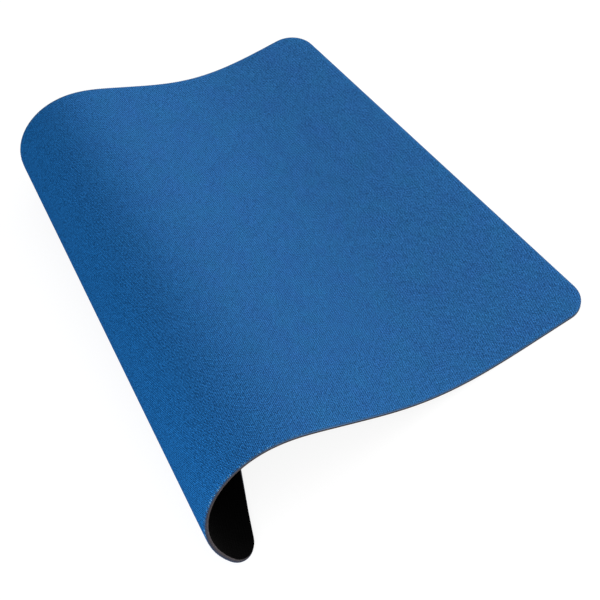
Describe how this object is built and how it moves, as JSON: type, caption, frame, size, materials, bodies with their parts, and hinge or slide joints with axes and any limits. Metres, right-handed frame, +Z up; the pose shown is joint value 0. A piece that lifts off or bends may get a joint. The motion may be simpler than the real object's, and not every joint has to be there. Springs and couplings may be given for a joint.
{
  "type": "mouse pad",
  "caption": "Thin cloth-topped rubber mouse pad with rounded corners, one end curled under into a loose roll.",
  "frame": {"origin": "centre of the footprint's bounding box, on the desk", "axes": "+X from the roll towards the flat end, +Y towards the far long edge, +Z up from the desk"},
  "size_m": [0.1744, 0.191, 0.0404],
  "materials": {
    "cloth": "fine woven polyester, matt, blue",
    "film": "thin adhesive film, hidden",
    "sponge": "sponge rubber, die-cut grey-brown edge",
    "skin": "matt black moulded grip texture"
  },
  "bodies": {
    "root": {"cloth_top": "cloth", "bonding_film": "film", "sponge_core": "sponge", "grip_skin": "skin"}
  },
  "joints": []
}
